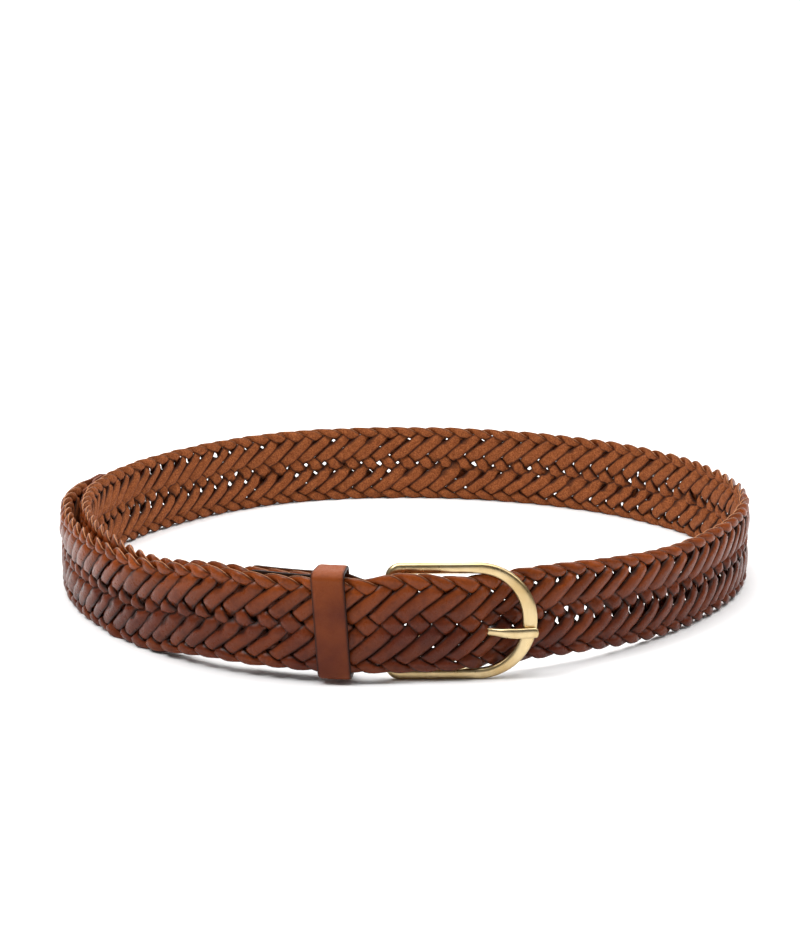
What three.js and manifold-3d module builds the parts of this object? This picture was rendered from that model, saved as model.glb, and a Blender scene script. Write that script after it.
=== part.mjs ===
// Braided leather belt, fastened and standing on its edge.
// Units are millimetres and +Z is up. The buckle faces -Y, and +X is the wearer's left.
// A place on the loop is given by u (arc length along it), h (height) and n (outward offset).
import * as THREE from 'three';
import Module from 'manifold-3d';

const wasm = await Module();
wasm.setup();
const { Manifold, Mesh } = wasm;

// ---- driving dimensions -------------------------------------------------------------------
const BELT_WIDTH = 36.6;
const LOOP_RADIUS = 149.4;
const LIE = { cos2: -0.011, sin2: 0.018, cos3: 0.012, sin3: 0.024, cos4: 0.006, sin4: -0.002 };
const CENTRE = { x: -1.96, y: 5.21 };

const STRANDS = 10;
const PITCH = 9.58;
const THONG_COVER = 0.83;
const THONG_THICK = 1.8;
const WEAVE_GAP = 0.35;

const PLY = 1.5;
const PLY_GAP = 0.3;
const LAYER_GAP = 0.35;
const TAB = { left: -63, braidEnd: -22, foldTrim: 2, corner: 7 };
const TIP = { braidEnd: -266, length: 34, lap: 13, trim: 2 };

const FRAME = { room: 1.2, length: 57.4, thick: 3.4, arm: 3.8, nose: 5.0, corner: 3.6, tilt: -1.5, play: 0.05 };
const BAR = { u: -4.2, radius: 1.7 };
const PRONG = { wide: 3.6, thick: 2.4, ring: 1.3, play: 0.12, swing: 1.5, drop: 0.3 };
const KEEPER = { u: -25.7, wide: 12.2, thick: 1.8, room: 1.7, play: 0.35, lean: 3.6, foot: 1.8 };
const LIFT = { overArm: 0.5, left: -120, leftFull: -72, rightFull: 52, right: 140 };

const THREAD = 0.7;
const STITCHES = 6;
const STITCH_HOLE = 1.0;

// ---- worked out from them -----------------------------------------------------------------
const LEVEL = BELT_WIDTH / STRANDS;
const SLOPE = LEVEL / (PITCH / 2);
const THONG_WIDTH = THONG_COVER * PITCH * SLOPE / Math.hypot(1, SLOPE);
const HALF_RISE = (THONG_WIDTH / 2) * Math.hypot(1, SLOPE);
const HALF_RUN = HALF_RISE / SLOPE;
const WAVE = (THONG_THICK + WEAVE_GAP) / 2;
const BAND_HALF = WAVE + THONG_THICK / 2;
const TRAVERSE = STRANDS * PITCH / 2;
const SCALLOP_HALF = PITCH * 0.27;
const FRAME_HEIGHT = BELT_WIDTH + FRAME.room + 2 * FRAME.arm;
const KEEPER_TOP = KEEPER.foot + BELT_WIDTH + KEEPER.room + 2 * KEEPER.thick;
const BAND_LIFT = FRAME.arm + LIFT.overArm;
const UNDER_TAB = 2 * BAND_HALF + LAYER_GAP + PLY + PLY_GAP;
const UNDER_TIP = 2 * BAND_HALF + LAYER_GAP + PLY + PLY_GAP + 2.3;

const brown = (tone) => new THREE.MeshStandardMaterial({ color: tone, roughness: 0.55 });
const brass = () => new THREE.MeshStandardMaterial({ color: 0xb59a5b, roughness: 0.35, metalness: 1 });

// The gap in the weave that the prong comes through, a little behind the nose of the frame.
const HOLE = { behindNose: 13.9, level: 6, reach: 6.5, open: 1.75, part: 2.0, partReach: 11, rise: 5.5 };
const NOSE_AT = FRAME.length - BAR.radius - FRAME.nose / 2;
const HOLE_AT = NOSE_AT - HOLE.behindNose;
const HOLE_U = BAR.u + HOLE_AT;
const HOLE_V = BELT_WIDTH - HOLE.level * LEVEL;
const PRONG_HEIGHT = BAND_LIFT + HOLE_V - PRONG.drop;

// ---- small helpers ------------------------------------------------------------------------
const clamp01 = (x) => Math.min(1, Math.max(0, x));
const ease = (a, b, x) => {
  const t = clamp01((x - a) / (b - a));
  return t * t * (3 - 2 * t);
};
const bump = (x, middle, half) => Math.exp(-(((x - middle) / half) ** 2));

// ---- the loop in plan ---------------------------------------------------------------------
function planPoint(turn) {
  const wave = LIE.cos2 * Math.cos(2 * turn) + LIE.sin2 * Math.sin(2 * turn)
    + LIE.cos3 * Math.cos(3 * turn) + LIE.sin3 * Math.sin(3 * turn)
    + LIE.cos4 * Math.cos(4 * turn) + LIE.sin4 * Math.sin(4 * turn);
  const radius = LOOP_RADIUS * (1 + wave);
  return [radius * Math.cos(turn), radius * Math.sin(turn)];
}

function measureLoop(steps) {
  const table = [{ u: 0, turn: -Math.PI / 2 }];
  let last = planPoint(-Math.PI / 2);
  for (let i = 1; i <= steps; i += 1) {
    const turn = -Math.PI / 2 + (2 * Math.PI * i) / steps;
    const here = planPoint(turn);
    const u = table[i - 1].u + Math.hypot(here[0] - last[0], here[1] - last[1]);
    table.push({ u, turn });
    last = here;
  }
  return table;
}

const LOOP = measureLoop(1440);
const ROUND = LOOP[LOOP.length - 1].u;

function turnAt(u) {
  const around = u - ROUND * Math.floor(u / ROUND);
  let low = 0;
  let high = LOOP.length - 1;
  while (high - low > 1) {
    const middle = (low + high) >> 1;
    if (LOOP[middle].u <= around) low = middle;
    else high = middle;
  }
  const share = (around - LOOP[low].u) / (LOOP[high].u - LOOP[low].u);
  return LOOP[low].turn + share * (LOOP[high].turn - LOOP[low].turn);
}

// Point, rightward tangent and outward normal of the loop at u.
function loopFrame(u) {
  const turn = turnAt(u);
  const step = 1e-4;
  const [x, y] = planPoint(turn);
  const [xa, ya] = planPoint(turn - step);
  const [xb, yb] = planPoint(turn + step);
  const size = Math.hypot(xb - xa, yb - ya);
  const tangent = [(xb - xa) / size, (yb - ya) / size];
  return { x, y, tangent, normal: [tangent[1], -tangent[0]] };
}

function place(u, n, height) {
  const at = loopFrame(u);
  return [at.x + n * at.normal[0], at.y + n * at.normal[1], height];
}

// Keeper and buckle are taller than the band, so the band next to them hangs off the floor.
function lift(u) {
  const near = u - ROUND * Math.round(u / ROUND);
  return BAND_LIFT * ease(LIFT.left, LIFT.leftFull, near) * (1 - ease(LIFT.rightFull, LIFT.right, near));
}

// ---- where the band runs ------------------------------------------------------------------
// The braid starts inside the tab at u = TAB.braidEnd and runs left, once round the loop, over
// the tab and on to the tip. Its unwrapped u therefore falls from there to BRAID_TIP.
const BRAID_TIP = TIP.braidEnd - ROUND;
const OUTER_AT = (u) => u - ROUND;

// Outward offset of the band that passes through the buckle, at the loop's own u.
function outerOffset(u) {
  const overBar = 1.2 * ease(-110, -60, u) * (1 - ease(BAR.u + 9, BAR.u + 25, u));
  const overProng = 1.5 * ease(HOLE_U - 34, HOLE_U - 16, u) * (1 - ease(HOLE_U - 9, HOLE_U + 4, u));
  const underNose = -0.9 * ease(HOLE_U - 10, HOLE_U + 2, u) * (1 - ease(HOLE_U + 12, HOLE_U + 56, u));
  const tuckedIn = -2.2 * (1 - ease(TIP.braidEnd - 6, TIP.braidEnd + 40, u));
  return overBar + overProng + underNose + tuckedIn;
}

function bandOffset(unwrapped) {
  if (unwrapped < OUTER_AT(120)) return outerOffset(unwrapped + ROUND);
  const nearTab = ease(-190, -75, unwrapped);
  const nearTip = ease(-430, -320, unwrapped) * (1 - nearTab);
  return (outerOffset(TAB.left) - UNDER_TAB) * nearTab - UNDER_TIP * nearTip;
}

// ---- the braid ----------------------------------------------------------------------------
// A traverse crosses the band from edge to edge over levels 1 to 9. The falling traverse is
// outside at levels 1, 5 and 9 and inside at the levels between; the rising one is the reverse.
const RUNS = [[1, 1, 1], [2, 4, -1], [5, 5, 1], [6, 8, -1], [9, 9, 1]];

// How the thongs give way round the prong: pushed aside in the band, and parted through it.
function aroundProng(u, v) {
  const du = u - OUTER_AT(HOLE_U);
  const dv = v - HOLE_V;
  const away = Math.hypot(du, dv);
  if (away > 30) return { du: 0, dv: 0, dn: 0 };
  const push = HOLE.open * Math.exp(-((away / HOLE.reach) ** 2)) / Math.max(away, 1e-6);
  const side = -Math.tanh(du / 3) * bump(du, 0, HOLE.partReach) * bump(dv, 0, HOLE.rise);
  return { du: du * push, dv: dv * push, dn: HOLE.part * side };
}

// Stations of a thong: where its upper and lower edges meet an edge of the crossing thong.
function traverseStations(start, falling) {
  const stations = [];
  const centre = (level) => {
    const v = falling ? BELT_WIDTH - level * LEVEL : level * LEVEL;
    return [start + level * PITCH / 2, v];
  };
  const add = (u, v, first, side) => {
    const lead = falling === first;
    const upper = lead ? [u, v + HALF_RISE] : [u + (first ? -1 : 1) * HALF_RUN, v];
    const lower = lead ? [u + (first ? -1 : 1) * HALF_RUN, v] : [u, v - HALF_RISE];
    stations.push({ upper, lower, side });
  };
  for (const [from, to, sign] of RUNS) {
    const side = falling ? sign : -sign;
    const [ua, va] = centre(from);
    const [ub, vb] = centre(to);
    add(ua, va, true, side);
    if (to > from && isInBuckle((ua + ub) / 2)) {
      for (let level = from; level < to; level += 1) {
        const [uc, vc] = centre(level);
        add(uc, vc, false, side);
      }
    }
    add(ub, vb, false, side);
  }
  trimFold(stations[0], start, falling, 1);
  trimFold(stations[stations.length - 1], start + TRAVERSE, falling, -1);
  return stations;
}

// The band bends most between the bar and the nose, so its thongs have more stations there.
function isInBuckle(u) {
  return u > OUTER_AT(BAR.u + 4) && u < OUTER_AT(HOLE_U + 20);
}

// At a fold the outer edge is drawn in to a scallop that just reaches the edge of the band.
function trimFold(at, apex, falling, direction) {
  const atTop = falling === (direction > 0);
  const corner = [apex + direction * SCALLOP_HALF, atTop ? BELT_WIDTH : 0];
  if (atTop) at.upper = corner;
  else at.lower = corner;
}

function strandStations(index) {
  const stations = [];
  const phase = OUTER_AT(HOLE_U) - (HOLE.level + 1) * PITCH / 2 + index * PITCH;
  const first = Math.floor((BRAID_TIP - phase) / TRAVERSE) - 1;
  const last = Math.ceil((TAB.braidEnd - phase) / TRAVERSE) + 1;
  for (let k = first; k <= last; k += 1) {
    const falling = k % 2 === 0;
    const start = phase + k * TRAVERSE;
    stations.push(...traverseStations(start, falling));
  }
  const inside = (s) => {
    const low = Math.min(s.upper[0], s.lower[0]);
    const high = Math.max(s.upper[0], s.lower[0]);
    return low >= BRAID_TIP && high <= TAB.braidEnd;
  };
  return stations.filter(inside);
}

function thongCorner([u, v], side, half) {
  const bend = aroundProng(u, v);
  const along = u + bend.du;
  const n = bandOffset(along) + side * WAVE + bend.dn + half * (THONG_THICK / 2);
  return place(along, n, v + bend.dv + lift(along));
}

function strandSections(index) {
  return strandStations(index).map(({ upper, lower, side }) => [
    thongCorner(upper, side, 1),
    thongCorner(upper, side, -1),
    thongCorner(lower, side, -1),
    thongCorner(lower, side, 1),
  ]);
}

// ---- solids from sections -----------------------------------------------------------------
function volumeSign(points, triangles) {
  let sum = 0;
  for (let i = 0; i < triangles.length; i += 3) {
    const [a, b, c] = [0, 1, 2].map((k) => new THREE.Vector3(...points[triangles[i + k]]));
    sum += a.dot(b.cross(c));
  }
  return sum;
}

function manifoldOf(points, triangles) {
  const faces = triangles.slice();
  if (volumeSign(points, triangles) < 0) {
    for (let i = 0; i < faces.length; i += 3) {
      [faces[i + 1], faces[i + 2]] = [faces[i + 2], faces[i + 1]];
    }
  }
  const mesh = new Mesh({
    numProp: 3,
    vertProperties: new Float32Array(points.flat()),
    triVerts: new Uint32Array(faces),
  });
  return new Manifold(mesh);
}

function sweep(sections, closed) {
  const count = sections[0].length;
  const rings = sections.length;
  const triangles = [];
  const segments = closed ? rings : rings - 1;
  for (let i = 0; i < segments; i += 1) {
    const next = (i + 1) % rings;
    for (let k = 0; k < count; k += 1) {
      const a = i * count + k;
      const b = i * count + ((k + 1) % count);
      const c = next * count + k;
      const d = next * count + ((k + 1) % count);
      triangles.push(a, b, d, a, d, c);
    }
  }
  if (!closed) {
    const end = (rings - 1) * count;
    for (let k = 1; k < count - 1; k += 1) {
      triangles.push(0, k + 1, k);
      triangles.push(end, end + k, end + k + 1);
    }
  }
  return manifoldOf(sections.flat(), triangles);
}

function extrudePlan(outline, low, high) {
  const sections = [low, high].map((z) => outline.map(([x, y]) => [x, y, z]));
  const contour = outline.map(([x, y]) => new THREE.Vector2(x, y));
  return capped(sections, contour);
}

// A prism between two copies of an outline, capped by triangulating the outline itself.
function capped(sections, contour) {
  const count = contour.length;
  if (THREE.ShapeUtils.isClockWise(contour)) {
    contour.reverse();
    sections.forEach((section) => section.reverse());
  }
  const triangles = [];
  for (let k = 0; k < count; k += 1) {
    const next = (k + 1) % count;
    triangles.push(k, next, count + next, k, count + next, count + k);
  }
  for (const [a, b, c] of THREE.ShapeUtils.triangulateShape(contour, [])) {
    triangles.push(a, c, b);
    triangles.push(count + a, count + b, count + c);
  }
  return manifoldOf(sections.flat(), triangles);
}

function extrudeSide(outline, near, far) {
  const sections = [near, far].map((y) => outline.map(([x, z]) => [x, y, z]));
  const contour = outline.map(([x, z]) => new THREE.Vector2(x, z));
  return capped(sections, contour);
}

function toMesh(name, solid, material) {
  const { vertProperties, triVerts, numProp } = solid.getMesh();
  const positions = [];
  for (const index of triVerts) {
    for (let k = 0; k < 3; k += 1) positions.push(vertProperties[index * numProp + k]);
  }
  const geometry = new THREE.BufferGeometry();
  geometry.setAttribute('position', new THREE.Float32BufferAttribute(positions, 3));
  geometry.translate(CENTRE.x, CENTRE.y, 0);
  geometry.computeVertexNormals();
  const mesh = new THREE.Mesh(geometry, material);
  mesh.name = name;
  return mesh;
}

// ---- buckle frame and prong ---------------------------------------------------------------
const TILT = THREE.MathUtils.degToRad(FRAME.tilt);
const BUCKLE_MIDDLE = FRAME_HEIGHT / 2;
const BAR_DROP = BAND_HALF + LAYER_GAP + PLY + PRONG.play + BAR.radius;
const [BAR_X, BAR_Y] = place(BAR.u, outerOffset(BAR.u) - BAR_DROP, 0);

// a runs along the frame from the bar to the nose, b is height above its middle, c is forward.
function frameToWorld(a, b, c, swing = 0) {
  const turn = TILT + THREE.MathUtils.degToRad(swing);
  const x = BAR_X + a * Math.cos(turn) - c * Math.sin(turn);
  const y = BAR_Y - a * Math.sin(turn) - c * Math.cos(turn);
  return [x, y, BUCKLE_MIDDLE + b];
}

function frameSection(a, b, angle, half, thickHalf, round) {
  const outward = [Math.cos(angle), Math.sin(angle)];
  const corners = 12;
  const section = [];
  for (let k = 0; k < corners; k += 1) {
    const turn = (2 * Math.PI * (k + 0.5)) / corners;
    const reach = (value) => Math.sign(value) * Math.abs(value) ** round;
    const p = half * reach(Math.cos(turn));
    const c = thickHalf * reach(Math.sin(turn));
    section.push(frameToWorld(a + p * outward[0], b + p * outward[1], c));
  }
  return section;
}

function buckleFrame(grow) {
  const half = FRAME_HEIGHT / 2;
  const armHalf = FRAME.arm / 2;
  const thick = FRAME.thick / 2 + grow;
  const noseCentre = FRAME.length - BAR.radius - half;
  const bend = FRAME.corner;
  const sections = [];
  const cornerAt = (b, from) => {
    for (let k = 0; k <= 4; k += 1) {
      const angle = from - (Math.PI / 2) * (k / 4);
      const nearArm = (b > 0 ? k : 4 - k) / 4;
      const width = BAR.radius + (armHalf - BAR.radius) * nearArm;
      const a = bend + bend * Math.cos(angle);
      const height = b + bend * Math.sin(angle);
      sections.push(frameSection(a, height, angle, width + grow, thick, 1 - 0.2 * nearArm));
    }
  };
  const rail = half - armHalf;
  cornerAt(rail - bend, Math.PI);
  const steps = 26;
  for (let k = 0; k <= steps; k += 1) {
    const angle = Math.PI / 2 - (Math.PI * k) / steps;
    const swell = Math.cos(angle) ** 2;
    const width = armHalf + (FRAME.nose / 2 - armHalf) * swell;
    const radius = half - width;
    const a = noseCentre + radius * Math.cos(angle);
    sections.push(frameSection(a, radius * Math.sin(angle), angle, width + grow, thick, 0.7));
  }
  cornerAt(-(rail - bend), -Math.PI / 2);
  return sweep(sections, true);
}

// Centre line of the prong, forward of the bar: it keeps behind the band, then rises through
// the weave and lies over the nose of the frame.
const PRONG_REST = (FRAME.thick + PRONG.thick) / 2;
const PRONG_LINE = [[2.4, 0.2], [HOLE_AT - 24, -0.1], [HOLE_AT - 13, -0.7], [HOLE_AT - 5.5, -0.5],
  [HOLE_AT - 0.5, 0.9], [HOLE_AT + 4, 2.9], [HOLE_AT + 8.5, PRONG_REST + 0.8],
  [NOSE_AT - 1, PRONG_REST + 0.15], [NOSE_AT + FRAME.nose / 2 + 0.3, PRONG_REST - 0.1]];

function prongShank(grow, swing = 0) {
  const curve = new THREE.SplineCurve(PRONG_LINE.map(([a, c]) => new THREE.Vector2(a, c)));
  const steps = 20;
  const sections = [];
  for (let i = 0; i <= steps; i += 1) {
    const share = i / steps;
    const at = curve.getPoint(share);
    const along = curve.getTangent(share);
    const taper = 1 - 0.27 * ease(0.2, 0.45, share) + 0.34 * ease(0.62, 0.85, share) - 0.5 * ease(0.92, 1, share);
    const wide = (PRONG.wide / 2) * taper + grow;
    const thick = (PRONG.thick / 2) * (1 - 0.15 * ease(0.5, 1, share)) + grow;
    const section = [];
    for (let k = 0; k < 8; k += 1) {
      const turn = (2 * Math.PI * (k + 0.5)) / 8;
      const c = thick * Math.sin(turn) * 1.08;
      const b = wide * Math.cos(turn) * 1.08;
      const forward = [at.x - c * along.y, at.y + c * along.x];
      section.push(frameToWorld(forward[0], PRONG_HEIGHT - BUCKLE_MIDDLE + b, forward[1], swing));
    }
    sections.push(section);
  }
  return sweep(sections, false);
}

function ringAt(inner, outer, low, high) {
  const steps = 20;
  const sections = [];
  for (let i = 0; i < steps; i += 1) {
    const angle = (2 * Math.PI * i) / steps;
    const at = (radius, b) => frameToWorld(radius * Math.cos(angle), b, radius * Math.sin(angle));
    sections.push([at(inner, low), at(outer, low), at(outer, high), at(inner, high)]);
  }
  return sweep(sections, true);
}

function prong() {
  const inner = BAR.radius / Math.cos(Math.PI / 20) + PRONG.play;
  const middle = PRONG_HEIGHT - BUCKLE_MIDDLE;
  const low = middle - PRONG.wide / 2 - 0.15;
  const high = middle + PRONG.wide / 2 + 0.15;
  const eye = ringAt(inner, inner + PRONG.ring, low, high);
  return prongShank(0).add(eye);
}

// ---- leather tab folded round the bar -----------------------------------------------------
function plyOutline(path, thick) {
  const left = [];
  const right = [];
  path.forEach(([x, y], i) => {
    const [xa, ya] = path[Math.max(0, i - 1)];
    const [xb, yb] = path[Math.min(path.length - 1, i + 1)];
    const size = Math.hypot(xb - xa, yb - ya);
    const [nx, ny] = [(yb - ya) / size, -(xb - xa) / size];
    left.push([x + nx * thick / 2, y + ny * thick / 2]);
    right.push([x - nx * thick / 2, y - ny * thick / 2]);
  });
  return left.concat(right.reverse());
}

function spaced(from, to, count) {
  return Array.from({ length: count + 1 }, (_, i) => from + ((to - from) * i) / count);
}

const OUTER_PLY_DROP = BAND_HALF + LAYER_GAP + PLY / 2;
const INNER_PLY_DROP = OUTER_PLY_DROP + PLY + 2 * PLY_GAP + 2 * BAND_HALF;
const FOLD_RADIUS = BAR.radius + PRONG.play + PLY / 2 + 0.05;

function tabPath() {
  const path = [];
  const meet = BAR.u - 9;
  const outerAt = (u) => place(u, outerOffset(u) - OUTER_PLY_DROP, 0).slice(0, 2);
  for (const u of spaced(TAB.left, meet, 8)) path.push(outerAt(u));
  for (const angle of spaced(-100, 100, 10)) {
    const turn = THREE.MathUtils.degToRad(angle);
    path.push([BAR_X + FOLD_RADIUS * Math.cos(turn), BAR_Y + FOLD_RADIUS * Math.sin(turn)]);
  }
  const closeDrop = OUTER_PLY_DROP + PLY + PLY_GAP;
  const innerAt = (u) => {
    const spread = ease(TAB.braidEnd + 12, TAB.braidEnd, u);
    const drop = closeDrop + (INNER_PLY_DROP - closeDrop) * spread;
    return place(u, outerOffset(u) - drop, 0).slice(0, 2);
  };
  for (const u of spaced(meet, TAB.left + 1.5, 12)) path.push(innerAt(u));
  return path;
}

function roundedBar(left, right, low, high, corner) {
  const outline = [[right, low], [right, high]];
  for (const angle of spaced(90, 180, 4)) {
    const turn = THREE.MathUtils.degToRad(angle);
    outline.push([left + corner + corner * Math.cos(turn), high - corner + corner * Math.sin(turn)]);
  }
  for (const angle of spaced(180, 270, 4)) {
    const turn = THREE.MathUtils.degToRad(angle);
    outline.push([left + corner + corner * Math.cos(turn), low + corner + corner * Math.sin(turn)]);
  }
  return outline;
}

function buckleTab() {
  const low = BAND_LIFT;
  const high = BAND_LIFT + BELT_WIDTH;
  const trim = TAB.foldTrim;
  const strip = extrudePlan(plyOutline(tabPath(), PLY), low, high);
  const left = place(TAB.left, 0, 0)[0] - 0.2;
  const profile = roundedBar(left, 4, low, high, TAB.corner);
  profile.splice(0, 2, [4, low + trim], [4, high - trim], [BAR_X - 8, high - trim], [BAR_X - 20, high]);
  profile.push([BAR_X - 20, low], [BAR_X - 8, low + trim]);
  const silhouette = extrudeSide(profile, BAR_Y - 40, BAR_Y + 40);
  const slotHalf = PRONG.wide / 2 + 0.6;
  const slot = extrudePlan(
    [[BAR_X - 4.5, BAR_Y - 8], [8, BAR_Y - 8], [8, BAR_Y + 8], [BAR_X - 4.5, BAR_Y + 8]],
    PRONG_HEIGHT - slotHalf,
    PRONG_HEIGHT + slotHalf,
  );
  return strip.intersect(silhouette).subtract(slot);
}

// ---- keeper -------------------------------------------------------------------------------
function keeper() {
  const at = outerOffset(KEEPER.u);
  const front = at + BAND_HALF + KEEPER.play + KEEPER.thick;
  const back = at - INNER_PLY_DROP - PLY / 2 - KEEPER.play - KEEPER.thick;
  const ring = (grow) => {
    const corner = 2.6 + grow;
    const outline = [];
    const spots = [[front, KEEPER_TOP, 0], [back, KEEPER_TOP, 90],
      [back, KEEPER.foot, 180], [front, KEEPER.foot, 270]];
    for (const [n, z, from] of spots) {
      const cn = n - Math.sign(n - at + 4) * (corner - grow);
      const cz = z > KEEPER.foot ? z - (corner - grow) : z + (corner - grow);
      for (const angle of spaced(from, from + 90, 4)) {
        const turn = THREE.MathUtils.degToRad(angle);
        outline.push([cn + corner * Math.cos(turn), cz + corner * Math.sin(turn)]);
      }
    }
    return outline;
  };
  const outer = ring(0);
  const inner = ring(-KEEPER.thick);
  const lean = Math.tan(THREE.MathUtils.degToRad(KEEPER.lean));
  const sections = outer.map(([n, z], i) => {
    const shift = -(z - (KEEPER_TOP + KEEPER.foot) / 2) * lean;
    const [ni, zi] = inner[i];
    const near = KEEPER.u + shift - KEEPER.wide / 2;
    const far = KEEPER.u + shift + KEEPER.wide / 2;
    return [place(near, n, z), place(far, n, z), place(far, ni, zi), place(near, ni, zi)];
  });
  return sweep(sections, true);
}

// ---- tip of the belt ----------------------------------------------------------------------
function tipPly(side) {
  const braid = TIP.braidEnd;
  const end = braid - TIP.length;
  const path = spaced(braid + TIP.lap, end, 16).map((u) => {
    const apart = ease(braid - 12, braid - 1, u);
    const closed = PLY / 2 + PLY_GAP / 2;
    const open = BAND_HALF + PLY_GAP + PLY / 2;
    const n = outerOffset(Math.max(u, braid - 6)) + side * (closed + (open - closed) * apart);
    return place(u, n, 0).slice(0, 2);
  });
  const low = TIP.trim;
  const height = BELT_WIDTH - 2 * TIP.trim;
  const strip = extrudePlan(plyOutline(path, PLY), low, low + height);
  const far = path[path.length - 1];
  const near = path[0];
  const outline = [[near[1] - 4, low], [near[1] - 4, low + height]];
  for (const angle of spaced(90, -90, 10)) {
    const turn = THREE.MathUtils.degToRad(angle);
    const reach = height / 2;
    outline.push([far[1] - reach * 0.8 + reach * 0.8 * Math.cos(turn), low + reach + reach * Math.sin(turn)]);
  }
  const sections = [near[0] - 60, near[0] + 60].map((x) => outline.map(([y, z]) => [x, y, z]));
  const silhouette = capped(sections, outline.map(([y, z]) => new THREE.Vector2(y, z)));
  return strip.intersect(silhouette);
}

// ---- stitching ----------------------------------------------------------------------------
// A running stitch up the leather: the thread lies outside, goes through, lies inside.
function stitchPath(low, high, halfStack) {
  const path = [];
  const sunk = halfStack - 0.22;
  spaced(low, high, STITCHES).forEach((z, i, all) => {
    const side = i % 2 === 0 ? 1 : -1;
    if (i === 0) path.push([side * sunk, z - 1]);
    path.push([side * sunk, z]);
    if (i < all.length - 1) path.push([-side * sunk, z]);
  });
  return path;
}

// The thread as a chain of boxes joined end to end along that path.
function stitch(u, n, low, high, halfStack, radius) {
  const path = stitchPath(low, high, halfStack);
  let solid = null;
  for (let i = 1; i < path.length; i += 1) {
    const [na, za] = path[i - 1];
    const [nb, zb] = path[i];
    const lowN = Math.min(na, nb) - radius;
    const highN = Math.max(na, nb) + radius;
    const lowZ = Math.min(za, zb) - radius;
    const highZ = Math.max(za, zb) + radius;
    const plan = [[-1, lowN], [1, lowN], [1, highN], [-1, highN]]
      .map(([p, offset]) => place(u + p * radius, n + offset, 0).slice(0, 2));
    const box = extrudePlan(plan, lowZ, highZ);
    solid = solid ? solid.add(box) : box;
  }
  return solid;
}

function tabStitch(radius) {
  const u = BAR.u - 7.4;
  const middle = outerOffset(u) - OUTER_PLY_DROP - (PLY + PLY_GAP) / 2;
  const low = BAND_LIFT + 5;
  const high = BAND_LIFT + BELT_WIDTH - 5;
  return stitch(u, middle, low, high, PLY + PLY_GAP / 2, radius);
}

function tipStitch(radius) {
  const u = TIP.braidEnd - 15;
  const low = TIP.trim + 4;
  const middle = outerOffset(TIP.braidEnd - 6);
  return stitch(u, middle, low, BELT_WIDTH - low, PLY + PLY_GAP / 2, radius);
}

// ---- assembly -----------------------------------------------------------------------------
// The thongs are cut where the prong swings through them and where the frame presses on them.
function strands() {
  const clearProng = [0, 0.5, 1].map((share) => prongShank(PRONG.play, share * PRONG.swing));
  const clearOf = [...clearProng, buckleFrame(FRAME.play)];
  return Array.from({ length: STRANDS }, (_, i) => {
    const name = `strand_${String(i + 1).padStart(2, '0')}`;
    const whole = sweep(strandSections(i), false);
    const solid = clearOf.reduce((left, cut) => left.subtract(cut), whole);
    return toMesh(name, solid, brown(i % 2 ? 0x7a4028 : 0x84462b));
  });
}

const belt = new THREE.Group();
belt.name = 'braided_belt';
belt.add(...strands());
belt.add(toMesh('buckle_frame', buckleFrame(0), brass()));
belt.add(toMesh('prong', prong(), brass()));
belt.add(toMesh('keeper', keeper(), brown(0x8a4a2c)));
belt.add(toMesh('buckle_tab', buckleTab().subtract(tabStitch(STITCH_HOLE / 2)), brown(0x3c2018)));
belt.add(toMesh('tab_stitch', tabStitch(THREAD / 2), brown(0x2c1a12)));
belt.add(toMesh('tip_outer_ply', tipPly(1).subtract(tipStitch(STITCH_HOLE / 2)), brown(0x74402a)));
belt.add(toMesh('tip_inner_ply', tipPly(-1).subtract(tipStitch(STITCH_HOLE / 2)), brown(0x6a3a26)));
belt.add(toMesh('tip_stitch', tipStitch(THREAD / 2), brown(0x2c1a12)));

export default belt;
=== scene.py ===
"""Looks of the fastened braided belt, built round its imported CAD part.

Shapes are worked out in millimetres and become metres when a mesh is made. A place on the loop is
given by u (arc length along it), n (outward offset) and height. The unwrapped u of the braid falls
from the tab, once round the loop, to the tip.
"""

import math

import bpy
import numpy as np
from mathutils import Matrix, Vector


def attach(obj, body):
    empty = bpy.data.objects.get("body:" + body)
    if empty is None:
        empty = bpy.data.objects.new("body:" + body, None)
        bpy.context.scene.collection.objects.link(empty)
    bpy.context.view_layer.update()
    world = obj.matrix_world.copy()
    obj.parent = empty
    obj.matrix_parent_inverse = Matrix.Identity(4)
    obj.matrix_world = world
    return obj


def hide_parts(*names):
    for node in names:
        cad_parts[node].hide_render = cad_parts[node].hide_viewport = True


# ---- sizes in millimetres ---------------------------------------------------------------------
BELT_WIDTH = 36.6
LOOP_RADIUS = 149.4
LIE_COS = {2: -0.011, 3: 0.012, 4: 0.006}
LIE_SIN = {2: 0.018, 3: 0.024, 4: -0.002}
CENTRE = (-1.96, 5.21)

STRANDS = 10
LEVELS = 10
PITCH = 9.58
THONG_COVER = 0.99
THONG_THICK = 1.8
WAVE = 1.075
BAND_HALF = 1.975

PLY = 1.5
PLY_GAP = 0.3
LAYER_GAP = 0.35
TAB_LEFT = -63.0
TAB_CORNER = 7.0
TAB_DRAWN_IN = 2.0
BRAID_START = -22.0
TIP_BRAID_END = -266.0
TIP_LENGTH = 34.0
TIP_LAP = 13.0
TIP_TRIM = 2.0
TIP_TUCK = 2.3

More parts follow.
